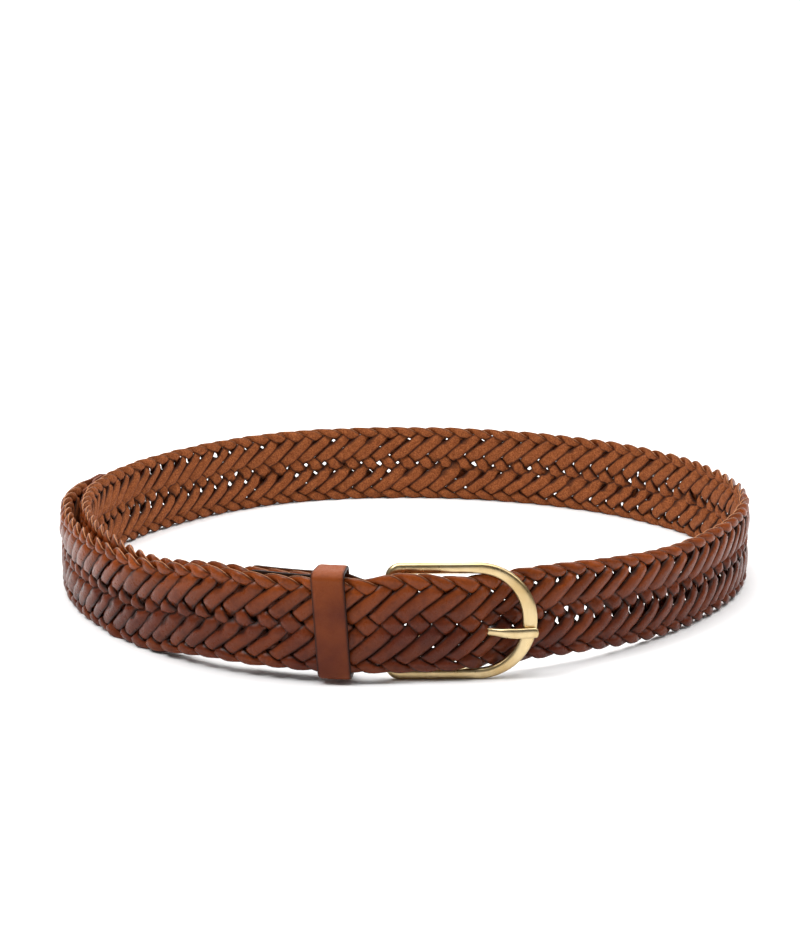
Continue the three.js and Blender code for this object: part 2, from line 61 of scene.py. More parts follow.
FRAME_LENGTH = 57.4
FRAME_HEIGHT = 45.4
FRAME_THICK = 3.4
ARM_LOOK = 4.2
NOSE = 5.0
NOSE_LOOK = 5.7
CORNER = 3.6
TILT = math.radians(-1.5)
BAR_U = -4.2
BAR_RADIUS = 1.7
PRONG_WIDE = 3.6
PRONG_THICK = 2.4
PRONG_RING = 1.3
PRONG_PLAY = 0.12
PRONG_DROP = 0.3
HOLE_BEHIND_NOSE = 13.9
KEEPER_U = -25.7
KEEPER_WIDE = 12.2
KEEPER_THICK = 1.8
KEEPER_FOOT = 1.8
KEEPER_TOP = 43.7
KEEPER_PLAY = 0.35
KEEPER_LEAN = math.radians(3.6)
BAND_LIFT = 4.3
BAR_BULGE = 1.2
PRONG_BULGE = 1.5
NOSE_DIP = 0.9
TIP_DIP = 2.2
KEEPER_CORNER = 2.6
THREAD_RADIUS = 0.35
STITCH_KNOTS = 7
TAB_STITCH_U = BAR_U - 7.4
TAB_STITCH_EDGE = 5.0
TIP_STITCH_U = TIP_BRAID_END - 15
TIP_STITCH_EDGE = TIP_TRIM + 4

LEVEL = BELT_WIDTH / LEVELS
STEP = PITCH / 2
SLOPE = LEVEL / STEP
UNDER_TAB = 2 * BAND_HALF + LAYER_GAP + PLY + PLY_GAP
UNDER_TIP = UNDER_TAB + TIP_TUCK
NOSE_AT = FRAME_LENGTH - BAR_RADIUS - NOSE / 2
HOLE_AT = NOSE_AT - HOLE_BEHIND_NOSE
HOLE_U = BAR_U + HOLE_AT
HOLE_LEVEL = 6
HOLE_V = BELT_WIDTH - HOLE_LEVEL * LEVEL
PRONG_HEIGHT = BAND_LIFT + HOLE_V - PRONG_DROP
OUTER_DROP = BAND_HALF + LAYER_GAP + PLY / 2
INNER_DROP = OUTER_DROP + PLY + 2 * PLY_GAP + 2 * BAND_HALF
BAR_DROP = BAND_HALF + LAYER_GAP + PLY + PRONG_PLAY + BAR_RADIUS

# ---- the camera -------------------------------------------------------------------------------
CAMERA_DISTANCE = 0.9852
CAMERA_RISE = math.radians(15.22)
FOCAL_PIXELS = 2216.0
IMAGE_HEIGHT = 940.0
AXIS_RIGHT = 1.3
AXIS_BELOW = 104.1

rng = np.random.default_rng(11)


# ---- small helpers ----------------------------------------------------------------------------
def ease(a, b, x):
    t = np.clip((np.asarray(x, float) - a) / (b - a), 0.0, 1.0)
    return t * t * (3 - 2 * t)


def between(x, rising, falling):
    """0 before the first range, 1 between the two and 0 after the second, eased through both."""
    return ease(*rising, x) * (1 - ease(*falling, x))


def bump(x, middle, half):
    return np.exp(-(((x - middle) / half) ** 2))


def signed_power(value, power):
    return np.sign(value) * np.abs(value) ** power


# ---- the loop in plan -------------------------------------------------------------------------
def plan_point(turn):
    wave = sum(a * np.cos(k * turn) for k, a in LIE_COS.items())
    wave = wave + sum(a * np.sin(k * turn) for k, a in LIE_SIN.items())
    radius = LOOP_RADIUS * (1 + wave)
    return np.stack([radius * np.cos(turn), radius * np.sin(turn)], -1)


LOOP_TURN = -math.pi / 2 + np.linspace(0, 2 * math.pi, 1441)
LOOP_POINTS = plan_point(LOOP_TURN)
LOOP_U = np.concatenate([[0.0], np.cumsum(np.hypot(*np.diff(LOOP_POINTS, axis=0).T))])
ROUND = LOOP_U[-1]
BRAID_TIP = TIP_BRAID_END - ROUND


def place(u, n, height):
    u, n, height = np.broadcast_arrays(np.asarray(u, float), n, height)
    turn = np.interp(np.mod(u, ROUND), LOOP_U, LOOP_TURN)
    here = plan_point(turn)
    tangent = plan_point(turn + 1e-4) - plan_point(turn - 1e-4)
    tangent /= np.linalg.norm(tangent, axis=-1, keepdims=True)
    x = here[..., 0] + n * tangent[..., 1] + CENTRE[0]
    y = here[..., 1] - n * tangent[..., 0] + CENTRE[1]
    return np.stack([x, y, height], -1)


def lift(u):
    """How far the band is held off the floor by the frame's lower arm."""
    near = u - ROUND * np.round(np.asarray(u) / ROUND)
    return BAND_LIFT * between(near, (-120, -72), (52, 140))


def outer_offset(u):
    """Outward offset of the band's middle where it is the outer layer."""
    over_bar = BAR_BULGE * between(u, (-110, -60), (BAR_U + 9, BAR_U + 25))
    over_prong = PRONG_BULGE * between(u, (HOLE_U - 34, HOLE_U - 16), (HOLE_U - 9, HOLE_U + 4))
    under_nose = NOSE_DIP * between(u, (HOLE_U - 10, HOLE_U + 2), (HOLE_U + 12, HOLE_U + 56))
    tucked_in = TIP_DIP * (1 - ease(TIP_BRAID_END - 6, TIP_BRAID_END + 40, u))
    return over_bar + over_prong - under_nose - tucked_in


def band_offset(unwrapped):
    near_tab = ease(-190, -75, unwrapped)
    near_tip = ease(-430, -320, unwrapped) * (1 - near_tab)
    inner = (outer_offset(TAB_LEFT) - UNDER_TAB) * near_tab - UNDER_TIP * near_tip
    return np.where(unwrapped < 120 - ROUND, outer_offset(unwrapped + ROUND), inner)


# ---- meshes and their attributes --------------------------------------------------------------
def make_object(name, points, faces, smooth=True):
    mesh = bpy.data.meshes.new(name)
    mesh.from_pydata((np.asarray(points).reshape(-1, 3) / 1000).tolist(), [], faces)
    mesh.polygons.foreach_set("use_smooth", [smooth] * len(mesh.polygons))
    mesh.update()
    obj = bpy.data.objects.new(name, mesh)
    bpy.context.scene.collection.objects.link(obj)
    return obj


def swept(name, sections, closed=False):
    """A tube through sections of shape (rings, corners, 3), capped at its ends unless closed."""
    rings, corners = sections.shape[:2]
    ring = np.arange(rings if closed else rings - 1)[:, None]
    corner = np.arange(corners)[None, :]
    after, beside = (ring + 1) % rings, (corner + 1) % corners
    here, there = ring * corners, after * corners
    quads = np.stack([here + corner, here + beside, there + beside, there + corner], -1).reshape(-1, 4)
    flat = sections.reshape(-1, 3)
    if signed_volume(flat, quads) < 0:
        quads = quads[:, ::-1]
        ends = [list(range(corners)), list(range((rings - 1) * corners, rings * corners))[::-1]]
    else:
        ends = [list(range(corners))[::-1], list(range((rings - 1) * corners, rings * corners))]
    return make_object(name, flat, quads.tolist() + ([] if closed else ends))


def signed_volume(points, quads):
    """Positive when the faces point outwards; only its sign is used."""
    centre = points.mean(0)
    a, b, c, d = (points[quads[:, k]] - centre for k in range(4))
    return float((np.cross(a, b) * c).sum() + (np.cross(a, c) * d).sum())


def paint_place(obj, *channels):
    """Stores four numbers from 0 to 1 at each point, which the leather reads as red to alpha."""
    colour = np.stack(np.broadcast_arrays(*channels), -1).astype(np.float32)
    layer = obj.data.attributes.new("place", "FLOAT_COLOR", "POINT")
    layer.data.foreach_set("color", colour.ravel())


def rounded_section(corners, power):
    """Corners of a rounded rectangle from -1 to 1 each way."""
    turn = 2 * math.pi * (np.arange(corners) + 0.5) / corners
    return signed_power(np.cos(turn), power), signed_power(np.sin(turn), power)


def unit_rows(vectors):
    return vectors / np.linalg.norm(vectors, axis=1, keepdims=True)


def run_length(path):
    return np.concatenate([[0], np.cumsum(np.linalg.norm(np.diff(path, axis=0), axis=1))])


# ---- the braid --------------------------------------------------------------------------------
RINGS_PER_LEVEL = 4
THONG_CORNERS = 18
THONG_SQUARENESS = 0.62
THONG_END_GAP = 2.4
HALF_WIDTH = THONG_COVER * PITCH * SLOPE / math.hypot(1, SLOPE) / 2
HALF_RISE = HALF_WIDTH * math.hypot(1, SLOPE)
SKEW = HALF_RISE / (2 * LEVEL)
LONG_ARCH = 0.75
SHORT_ARCH = 0.4
STEEPEN = 0.2
BUNCHED = 2.0
PRESSED = 0.25
PINCH = 0.05
BEND_CURL = 0.45
# A thong's rim and crown as shares of half its thickness, outside and inside.
RIM = (0.38, 0.50)
CROWN = (0.92, 0.56)

# Levels where a thong changes sides, with the sign of the change on its way down.
CROSSINGS = ((1.5, -1.0), (4.5, 1.0), (5.5, -1.0), (8.5, 1.0))
CROSSING_HALF = 0.2
FOLD_HALF = 0.55

# Widths drawn for the openings of each crossing level that has them.
OPENINGS = {
    2: rng.uniform(0.5, 1.5, 53),
    5: rng.uniform(0.8, 1.8, 59),
    6: rng.uniform(0.8, 1.8, 61),
    8: rng.uniform(0.1, 0.9, 47),
}
OPENING_REACH = 2.4
SHUT = 1.1
LEAST_AWAY = 0.4

# The prong pushes the thongs aside round its hole, and parts them in depth to its left and right.
PRONG_PUSH = 0.5
PRONG_PUSH_REACH = 5.0
PART_DEPTH = 2.0
PART_TURN = 3.0
PART_RUN = 11.0
PART_RISE = 5.5

# Rings from one random value to the next, and the spread of those values.
WIDTH_WANDER = (14, 0.05)
ARCH_WANDER = (12, 0.22)
DEPTH_WANDER = (9, 0.16)
TWIST_WANDER = (11, 0.30)
DRIFT_WANDER = (10, 0.22)
TONE_WANDER = (20, 0.5)


def outward_push(du, dv, amount, reach):
    """A push away from a point, as a factor on the way from that point."""
    away = np.hypot(du, dv)
    return amount * np.exp(-((away / reach) ** 2)) / np.maximum(away, LEAST_AWAY)


def around_prong(u, v):
    """How far the thongs give way to the prong: pushed aside in the band, and parted through it."""
    du = u - (HOLE_U - ROUND)
    dv = v - HOLE_V
    push = outward_push(du, dv, PRONG_PUSH, PRONG_PUSH_REACH)
    side = -np.tanh(du / PART_TURN) * bump(du, 0, PART_RUN) * bump(dv, 0, PART_RISE)
    return du * push, dv * push, PART_DEPTH * side


def around_openings(u, v):
    """How far the thongs' edges are drawn back from the small openings between four thongs."""
    move_u = np.zeros_like(u)
    move_v = np.zeros_like(v)
    shut = 1 - SHUT * between(u + ROUND, (-70, -30), (HOLE_U + 8, HOLE_U + 20))
    for level, widths in OPENINGS.items():
        start = HOLE_U - ROUND + (level - HOLE_LEVEL) * STEP
        cell = np.round((u - start) / PITCH)
        du = u - start - cell * PITCH
        dv = v - (BELT_WIDTH - level * LEVEL)
        amount = widths[cell.astype(int) % len(widths)]
        push = outward_push(du, dv, amount * shut, OPENING_REACH)
        move_u += du * push
        move_v += dv * push
    return move_u, move_v


def steepened(u, v):
    """Thongs lie flatter towards the edges of the band than in its middle."""
    amount = STEEPEN * (1 - bump(u, HOLE_U - ROUND, 14))
    share = (v - BELT_WIDTH / 2) / (BELT_WIDTH / 2)
    share = share + amount * np.sin(math.pi * share) / math.pi
    return BELT_WIDTH / 2 * (1 + share)


def bunched(u, v):
    """Between the keeper and the prong the band is pressed together, so its upper edge stands higher."""
    return BUNCHED * between(u, (-12, -4), (4, 22)) * (v / BELT_WIDTH) ** 2


def arch_room(u):
    """How much of its arch a thong keeps: little of it inside the tab, the keeper and the buckle."""
    pinched = between(u + ROUND, (-80, -68), (4, 16))
    in_tab = ease(-76, -64, u)
    return 1 - 0.85 * np.maximum(pinched, in_tab)


def flattened(u):
    """The keeper presses the thongs flatter wherever it can slide."""
    return 1 - PRESSED * between(u + ROUND, (-46, -40), (-9, -5))


def weave_side(level, falling):
    """+1 where the thong lies outside, -1 where it lies inside, eased between."""
    side = np.ones_like(level)
    for middle, sign in CROSSINGS:
        side = side + 2 * sign * ease(middle - CROSSING_HALF, middle + CROSSING_HALF, level)
    side = np.where(falling, side, -side)
    fold_in = 1 - ease(-FOLD_HALF, FOLD_HALF, level)
    fold_out = ease(LEVELS - FOLD_HALF, LEVELS + FOLD_HALF, level)
    return side * (1 - 2 * fold_in) * (1 - 2 * fold_out)


def weave_arch(level):
    """How far a run bulges: most in the middle of the run over three, less over one."""
    long_run = np.maximum(0, 1 - ((np.abs(level - 5) - 2) / 1.5) ** 2)
    nearest = np.abs(level[..., None] - np.array([1.0, 5.0, 9.0])).min(-1)
    short_run = np.maximum(0, 1 - (nearest / 0.5) ** 2)
    return np.maximum(LONG_ARCH * long_run, SHORT_ARCH * short_run)


def smoothed(values, times):
    for _ in range(times):
        values = np.convolve(np.pad(values, 1, mode="edge"), [0.25, 0.5, 0.25], mode="valid")
    return values


def wander(count, spacing, times=6):
    """Smoothed random values along a thong, drawn at the knots and joined by straight lines first."""
    per_knot, amount = spacing
    knots = rng.normal(0, amount, count // per_knot + 3)
    return smoothed(np.interp(np.arange(count) / per_knot, np.arange(len(knots)), knots), times)


def thong_course(index):
    """A thong's middle line: its place along the braid, its height, its level and its direction."""
    phase = HOLE_U - ROUND - (HOLE_LEVEL + 1) * STEP + index * PITCH
    first = (BRAID_TIP + THONG_END_GAP - phase) / STEP
    last = (BRAID_START - THONG_END_GAP - phase) / STEP
    s = np.linspace(first, last, int((last - first) * RINGS_PER_LEVEL))
    traverse = np.floor(s / LEVELS)
    level = s - LEVELS * traverse
    falling = np.mod(traverse, 2) == 0
    from_edge = np.minimum(level, LEVELS - level)
    near_fold = np.clip(from_edge, 0, 1)
    down = np.where(from_edge < 1, 0.5 + 0.5 * near_fold**2, from_edge)
    lower_half = np.where(falling, level > LEVELS / 2, level < LEVELS / 2)
    v = np.where(lower_half, down * LEVEL, BELT_WIDTH - down * LEVEL)
    return phase + s * STEP, v, level, falling, near_fold


def thong_sides(level, falling, near_fold):
    """Half a thong's width as a run along the braid and a rise, both turning round at the folds."""
    lean = np.where(falling, 1.0, -1.0) * near_fold * (1.5 - 0.5 * near_fold**2)
    width = 1 + wander(len(level), WIDTH_WANDER)
    pinch = 1 - PINCH * sum(bump(level, middle, 0.35) for middle, _ in CROSSINGS)
    side_u = SKEW * STEP * lean * width * pinch
    side_v = (SKEW * LEVEL * pinch + 0.3 * (1 - near_fold**2)) * width
    return side_u, side_v


def thong_depth(u, level, falling):
    """How far out of the braid's middle a thong lies, and how much more at one edge than the other."""
    count = len(level)
    room = arch_room(u)
    arch = weave_arch(level) * room * (1 + wander(count, ARCH_WANDER))
    side = weave_side(level, falling)
    middle_n = side * (WAVE + arch) + room * wander(count, DEPTH_WANDER)
    twist = room * wander(count, TWIST_WANDER)
    at_bend = between(u + ROUND, (-300, -270), (-190, -150))
    return middle_n, twist + BEND_CURL * at_bend * np.where(falling, -0.4, 1.0) * (side > 0)


def thong(index):
    u, v, level, falling, near_fold = thong_course(index)
    side_u, side_v = thong_sides(level, falling, near_fold)
    middle_n, twist = thong_depth(u, level, falling)
    drift = wander(len(u), DRIFT_WANDER) * near_fold * (1 - bump(u, HOLE_U - ROUND, 16))

    across, through = rounded_section(THONG_CORNERS, THONG_SQUARENESS)
    crown = np.where(through > 0, *CROWN) * (1 - np.abs(across) ** 2.5) * flattened(u)[:, None]
    sunk = through * (np.where(through > 0, *RIM) + crown)
    un = u[:, None] + side_u[:, None] * across
    vn = np.clip(v[:, None] + drift[:, None] + side_v[:, None] * across, 0.0, BELT_WIDTH)
    nn = middle_n[:, None] + twist[:, None] * across + THONG_THICK / 2 * sunk

    open_u, open_v = around_openings(un, vn)
    bend_u, bend_v, bend_n = around_prong(un, vn)
    along = un + bend_u + open_u
    height = steepened(un, vn + bend_v + open_v) + lift(along) + bunched(along + ROUND, vn)
    obj = swept(f"thong_{index + 1:02d}", place(along, band_offset(along) + nn + bend_n, height))

    tone = 0.5 + 0.5 * wander(len(u), TONE_WANDER, 8)[:, None]
    paint_place(obj, (1 - through) / 2, vn / BELT_WIDTH, tone, np.abs(across))
    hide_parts(f"strand_{index + 1:02d}")
    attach(obj, "strap")
    return obj


# ---- buckle frame and prong -------------------------------------------------------------------
BAR_POINT = place(BAR_U, outer_offset(BAR_U) - BAR_DROP, 0.0)


def frame_to_world(a, b, c):
    """a runs from the bar to the nose, b is height above the frame's middle, c is forward."""
    a, b, c = np.broadcast_arrays(a, b, c)
    x = BAR_POINT[0] + a * math.cos(TILT) - c * math.sin(TILT)
    y = BAR_POINT[1] - a * math.sin(TILT) - c * math.cos(TILT)
    return np.stack([x, y, FRAME_HEIGHT / 2 + b], -1)


BAR_SQUARENESS = 1.0
RAIL_SQUARENESS = 0.78
NOSE_SQUARENESS = 0.72
FRAME_CORNERS = 32


def frame_outline():
    """Centre line of the frame: place, outward angle, half width and squareness of the bar or rail."""
    half = FRAME_HEIGHT / 2
    rail = half - ARM_LOOK / 2
    rows = []

    def corner(b, start):
        for k in np.linspace(0, 1, 11):
            angle = start - math.pi / 2 * k
            near = k if b > 0 else 1 - k
            width = BAR_RADIUS + (ARM_LOOK / 2 - BAR_RADIUS) * near
            a = CORNER + CORNER * math.cos(angle)
            rows.append((a, b + CORNER * math.sin(angle), angle, width, BAR_SQUARENESS - 0.2 * near))

    def straight(start, end, angle, width, power, steps):
        for k in np.linspace(0, 1, steps + 2)[1:-1]:
            a, b = (np.array(start) * (1 - k) + np.array(end) * k).tolist()
            rows.append((a, b, angle, width, power))

    corner(rail - CORNER, math.pi)
    centre = FRAME_LENGTH - BAR_RADIUS - half
    straight((CORNER, rail), (centre, rail), math.pi / 2, ARM_LOOK / 2, RAIL_SQUARENESS, 12)
    for k in np.linspace(0, 1, 73):
        angle = math.pi / 2 - math.pi * k
        width = ARM_LOOK / 2 + (NOSE_LOOK / 2 - ARM_LOOK / 2) * math.cos(angle) ** 2
        reach = half - width
        a = centre + reach * math.cos(angle)
        rows.append((a, reach * math.sin(angle), angle, width, NOSE_SQUARENESS))
    straight((centre, -rail), (CORNER, -rail), -math.pi / 2, ARM_LOOK / 2, RAIL_SQUARENESS, 12)
    corner(CORNER - rail, -math.pi / 2)
    straight((0, CORNER - rail), (0, rail - CORNER), math.pi, BAR_RADIUS, BAR_SQUARENESS, 10)
    return rows


def buckle_frame():
    sections = []
    for a, b, angle, half, squareness in frame_outline():
        across, through = rounded_section(FRAME_CORNERS, squareness)
        p = half * across
        c = FRAME_THICK / 2 * through
        sections.append(frame_to_world(a + p * math.cos(angle), b + p * math.sin(angle), c))
    obj = swept("buckle_frame_cast", np.array(sections), closed=True)
    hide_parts("buckle_frame")
    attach(obj, "frame")
    return obj


PRONG_REST = (FRAME_THICK + PRONG_THICK) / 2
PRONG_STEPS = 90
PRONG_WAIST = 0.12
PRONG_SWELL = 0.24
PRONG_POINT = 0.3
PRONG_THINNED = 0.15
PRONG_LINE = np.array([
    [2.4, 0.2], [HOLE_AT - 24, -0.1], [HOLE_AT - 13, -0.7], [HOLE_AT - 5.5, -0.5],
    [HOLE_AT - 0.5, 0.9], [HOLE_AT + 4, 2.9], [HOLE_AT + 8.5, PRONG_REST + 0.8],
    [NOSE_AT - 1, PRONG_REST + 0.15], [NOSE_AT + NOSE / 2 + 0.3, PRONG_REST - 0.1],
])


def spline(points, steps):
    """Catmull-Rom curve through the points, and its unit tangents."""
    points = np.asarray(points, float)
    padded = np.concatenate([points[:1], points, points[-1:]])
    t = np.linspace(0, len(points) - 1, steps)
    i = np.minimum(t.astype(int), len(points) - 2)
    w = (t - i)[:, None]
    p0, p1, p2, p3 = (padded[i + k] for k in range(4))
    at = 0.5 * (2 * p1 + (p2 - p0) * w + (2 * p0 - 5 * p1 + 4 * p2 - p3) * w**2
                + (3 * p1 - p0 - 3 * p2 + p3) * w**3)
    return at, unit_rows(np.gradient(at, axis=0))


def prong_shank():
    """The shank narrows before the nose, swells over it and ends in a rounded point."""
    line, along = spline(PRONG_LINE, PRONG_STEPS)
    share = np.linspace(0, 1, PRONG_STEPS)
    rounded_off = ease(0.975, 1, share)
    taper = 1 - PRONG_WAIST * ease(0.2, 0.45, share) + PRONG_SWELL * ease(0.5, 0.72, share)
    taper = taper - PRONG_POINT * ease(0.94, 1, share)
    wide = PRONG_WIDE / 2 * taper * np.sqrt(1 - 0.86 * rounded_off)
    thick = PRONG_THICK / 2 * (1 - PRONG_THINNED * ease(0.5, 1, share)) * np.sqrt(1 - 0.8 * rounded_off)
    b_unit, c_unit = rounded_section(24, 0.82)
    c = thick[:, None] * c_unit
    height = PRONG_HEIGHT - FRAME_HEIGHT / 2 + wide[:, None] * b_unit
    sections = frame_to_world(line[:, :1] - c * along[:, 1:], height, line[:, 1:] + c * along[:, :1])
    return finish_prong(swept("prong_shank", sections))


def prong_eye():
    inner = BAR_RADIUS / math.cos(math.pi / 20) + PRONG_PLAY
    half = PRONG_WIDE / 2 + 0.15
    middle = inner + PRONG_RING / 2
    b_unit, r_unit = rounded_section(20, 0.55)
    angle = np.linspace(0, 2 * math.pi, 72, endpoint=False)[:, None]
    radius = middle + PRONG_RING / 2 * r_unit[None, :]
    height = PRONG_HEIGHT - FRAME_HEIGHT / 2 + half * b_unit[None, :]
    sections = frame_to_world(radius * np.cos(angle), height, radius * np.sin(angle))
    return finish_prong(swept("prong_eye", sections, closed=True))


def finish_prong(obj):
    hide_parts("prong")
    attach(obj, "prong")
    return obj


# ---- leather strips ---------------------------------------------------------------------------
LOOK_HEIGHT = 45.0
STRIP_SIDE = np.array([0.55, 0.0, -0.55])
KEEPER_SIDE = np.array([0.5, 0.0, -0.5])


def flat_profile(steps, inset, squareness, rim, side):
    """Section of a flat strip, across and through it, that thins to the share rim at its edges."""
    flat = np.linspace(-1, 1, steps)
    across = np.concatenate([flat * inset, [1.0] * 3, flat[::-1] * inset, [-1.0] * 3])
    face = np.sqrt(np.clip(1 - np.abs(flat) ** squareness, 0, 1)) * (1 - rim) + rim
    return across, np.concatenate([face, side, -face, -side])


def strip(name, path, lows, highs):
    """A leather ply that stands on edge along a plan path, from lows to highs in height."""
    path = np.asarray(path, float)
    along = unit_rows(np.gradient(path, axis=0))
    outward = np.stack([along[:, 1], -along[:, 0]], -1)
    h_unit, n_unit = flat_profile(12, 0.985, 24, 0.65, STRIP_SIDE)
    height = (lows + highs)[:, None] / 2 + (highs - lows)[:, None] / 2 * h_unit
    xy = path[:, None, :] + outward[:, None, :] * (PLY / 2 * n_unit)[None, :, None]
    obj = swept(name, np.concatenate([xy, height[:, :, None]], -1))
    length = run_length(path)[:, None]
    end_on = np.maximum(1 - length / 1.2, 1 - (length[-1] - length) / 1.2).clip(0, 1)
    edge_on = np.maximum(np.abs(h_unit) ** 16, end_on)
    paint_place(obj, (1 - n_unit) / 2, height / LOOK_HEIGHT, edge_on, 1.0)
    return obj


def tab_path():
    meet = BAR_U - 9
    fold = BAR_RADIUS + PRONG_PLAY + PLY / 2 + 0.05
    outer_u = np.linspace(TAB_LEFT, meet, 60)
    outer = place(outer_u, outer_offset(outer_u) - OUTER_DROP, 0)[:, :2]
    turn = np.radians(np.linspace(-100, 100, 40))
    bend = BAR_POINT[:2] + fold * np.stack([np.cos(turn), np.sin(turn)], -1)
    close_drop = OUTER_DROP + PLY + PLY_GAP
    inner_u = np.linspace(meet, TAB_LEFT + 1.5, 90)
    spread = ease(BRAID_START + 12, BRAID_START, inner_u)
    inner = place(inner_u, outer_offset(inner_u) - close_drop - (INNER_DROP - close_drop) * spread, 0)[:, :2]
    return respaced(np.concatenate([outer, bend, inner]), 0.6)


def respaced(path, gap):
    length = run_length(path)
    keep = np.concatenate([[True], np.diff(length) > 1e-6])
    at = np.linspace(0, length[-1], int(length[-1] / gap) + 1)
    path = np.stack([np.interp(at, length[keep], path[keep, k]) for k in (0, 1)], -1)
    for _ in range(6):
        path[1:-1] = 0.25 * path[:-2] + 0.5 * path[1:-1] + 0.25 * path[2:]
    return path


def tab_heights(path):
    """Low and high edge of the tab along its path: rounded corners, and drawn in at the fold."""
    low, high = BAND_LIFT, BAND_LIFT + BELT_WIDTH
    left = place(TAB_LEFT, 0, 0)[0] - 0.2
    from_left = path[:, 0] - left
    reach = np.clip((TAB_CORNER - from_left) / TAB_CORNER, 0, 1)
    drawn = TAB_CORNER * (1 - np.sqrt(np.clip(1 - reach**2, 0, 1)))
    drawn = drawn + TAB_DRAWN_IN * ease(BAR_POINT[0] - 20, BAR_POINT[0] - 8, path[:, 0])
    return low + drawn, high - drawn


def buckle_tab():
    """The tab is two strips above and below the prong's slot, joined by the whole width elsewhere."""
    path = tab_path()
    lows, highs = tab_heights(path)
    slot_half = PRONG_WIDE / 2 + 0.6
    below = np.full(len(path), PRONG_HEIGHT - slot_half)
    above = np.full(len(path), PRONG_HEIGHT + slot_half)
    first, last = np.flatnonzero(path[:, 0] > BAR_POINT[0] - 4.5)[[0, -1]]
    fold = slice(first, last + 1)
    parts = []
    for name, run, low, high in (
        ("tab_outer_ply", slice(0, first + 1), lows, highs),
        ("tab_inner_ply", slice(last, len(path)), lows, highs),
        ("tab_fold_lower", fold, lows, below),
        ("tab_fold_upper", fold, above, highs),
    ):
        obj = strip(name, path[run], low[run], high[run])
        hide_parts("buckle_tab")
        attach(obj, "strap")
        parts.append(obj)
    return parts


def keeper_line():
    """Closed centre line of the keeper round the band and the tab, as outward offset and height."""
    at = float(outer_offset(KEEPER_U))
    half = KEEPER_THICK / 2
    corner = KEEPER_CORNER - half
    front = at + BAND_HALF + KEEPER_PLAY + half
    back = at - INNER_DROP - PLY / 2 - KEEPER_PLAY - half
    top, foot = KEEPER_TOP - half, KEEPER_FOOT + half
    line = []
    for n, z, start in ((front, top, 0), (back, top, 90), (back, foot, 180), (front, foot, 270)):
        turn = np.radians(np.linspace(start, start + 90, 9))
        cn = n - corner if n == front else n + corner
        cz = z - corner if z == top else z + corner
        line.append(np.stack([cn + corner * np.cos(turn), cz + corner * np.sin(turn)], -1))
    return respaced(np.concatenate(line + [line[0][:1]]), 0.7)[:-1]


def keeper():
    line = keeper_line()
    along = unit_rows(np.roll(line, -1, 0) - np.roll(line, 1, 0))
    outward = np.stack([along[:, 1], -along[:, 0]], -1)
    w_unit, t_unit = flat_profile(13, 0.975, 8, 0.72, KEEPER_SIDE)
    n = line[:, :1] + outward[:, :1] * KEEPER_THICK / 2 * t_unit
    z = line[:, 1:] + outward[:, 1:] * KEEPER_THICK / 2 * t_unit
    shift = -(line[:, 1:] - (KEEPER_TOP + KEEPER_FOOT) / 2) * math.tan(KEEPER_LEAN)
    u = KEEPER_U + shift + KEEPER_WIDE / 2 * w_unit
    obj = swept("keeper_loop", place(u, n, z), closed=True)
    paint_place(obj, (1 - t_unit) / 2, z / LOOK_HEIGHT, np.abs(w_unit) ** 12, 1.0)
    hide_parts("keeper")
    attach(obj, "keeper")
    return obj


def tip_ply(side, name, node):
    u = np.linspace(TIP_BRAID_END + TIP_LAP, TIP_BRAID_END - TIP_LENGTH, 80)
    apart = ease(TIP_BRAID_END - 12, TIP_BRAID_END - 1, u)
    closed = PLY / 2 + PLY_GAP / 2
    opened = BAND_HALF + PLY_GAP + PLY / 2
    n = outer_offset(np.maximum(u, TIP_BRAID_END - 6)) + side * (closed + (opened - closed) * apart)
    path = place(u, n, 0)[:, :2]
    reach = BELT_WIDTH / 2 - TIP_TRIM
    beyond = np.clip(1 - (u - u[-1]) / (reach * 0.8), 0, 0.999)
    half = reach * np.sqrt(1 - beyond**2)
    obj = strip(name, path, BELT_WIDTH / 2 - half, BELT_WIDTH / 2 + half)
    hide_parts(node)
    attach(obj, "strap")
    return obj


# ---- thread -----------------------------------------------------------------------------------
STITCH_SINK = 0.22
CORD_TURN = 0.5
CORD_GROOVE = 0.12


def stitch_line(low, high):
    """A running stitch through both plies, as outward offset and height."""
    reach = PLY + PLY_GAP / 2 - STITCH_SINK
    heights = np.linspace(low, high, STITCH_KNOTS)
    knots = [(reach, low - 1)]
    for i, z in enumerate(heights):
        side = 1 if i % 2 == 0 else -1
        knots += [(side * reach, z), (-side * reach, z)]
    return respaced(np.array(knots[:-1]), 0.18)


def thread(name, node, u, n, low, high):
    """A stitch at u up the leather, as one cord of three twisted yarns."""
    line = stitch_line(low, high)
    along = unit_rows(np.gradient(line, axis=0))
    turn = np.linspace(0, 2 * math.pi, 14, endpoint=False)[None, :]
    twist = np.arange(len(line))[:, None] * CORD_TURN
    radius = THREAD_RADIUS * (1 - CORD_GROOVE * np.abs(np.sin(1.5 * (turn - twist))))
    across_n = line[:, :1] - along[:, 1:] * radius * np.cos(turn)
    across_z = line[:, 1:] + along[:, :1] * radius * np.cos(turn)
    obj = swept(name, place(u + radius * np.sin(turn), n + across_n, across_z))
    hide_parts(node)
    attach(obj, "strap")
    return obj


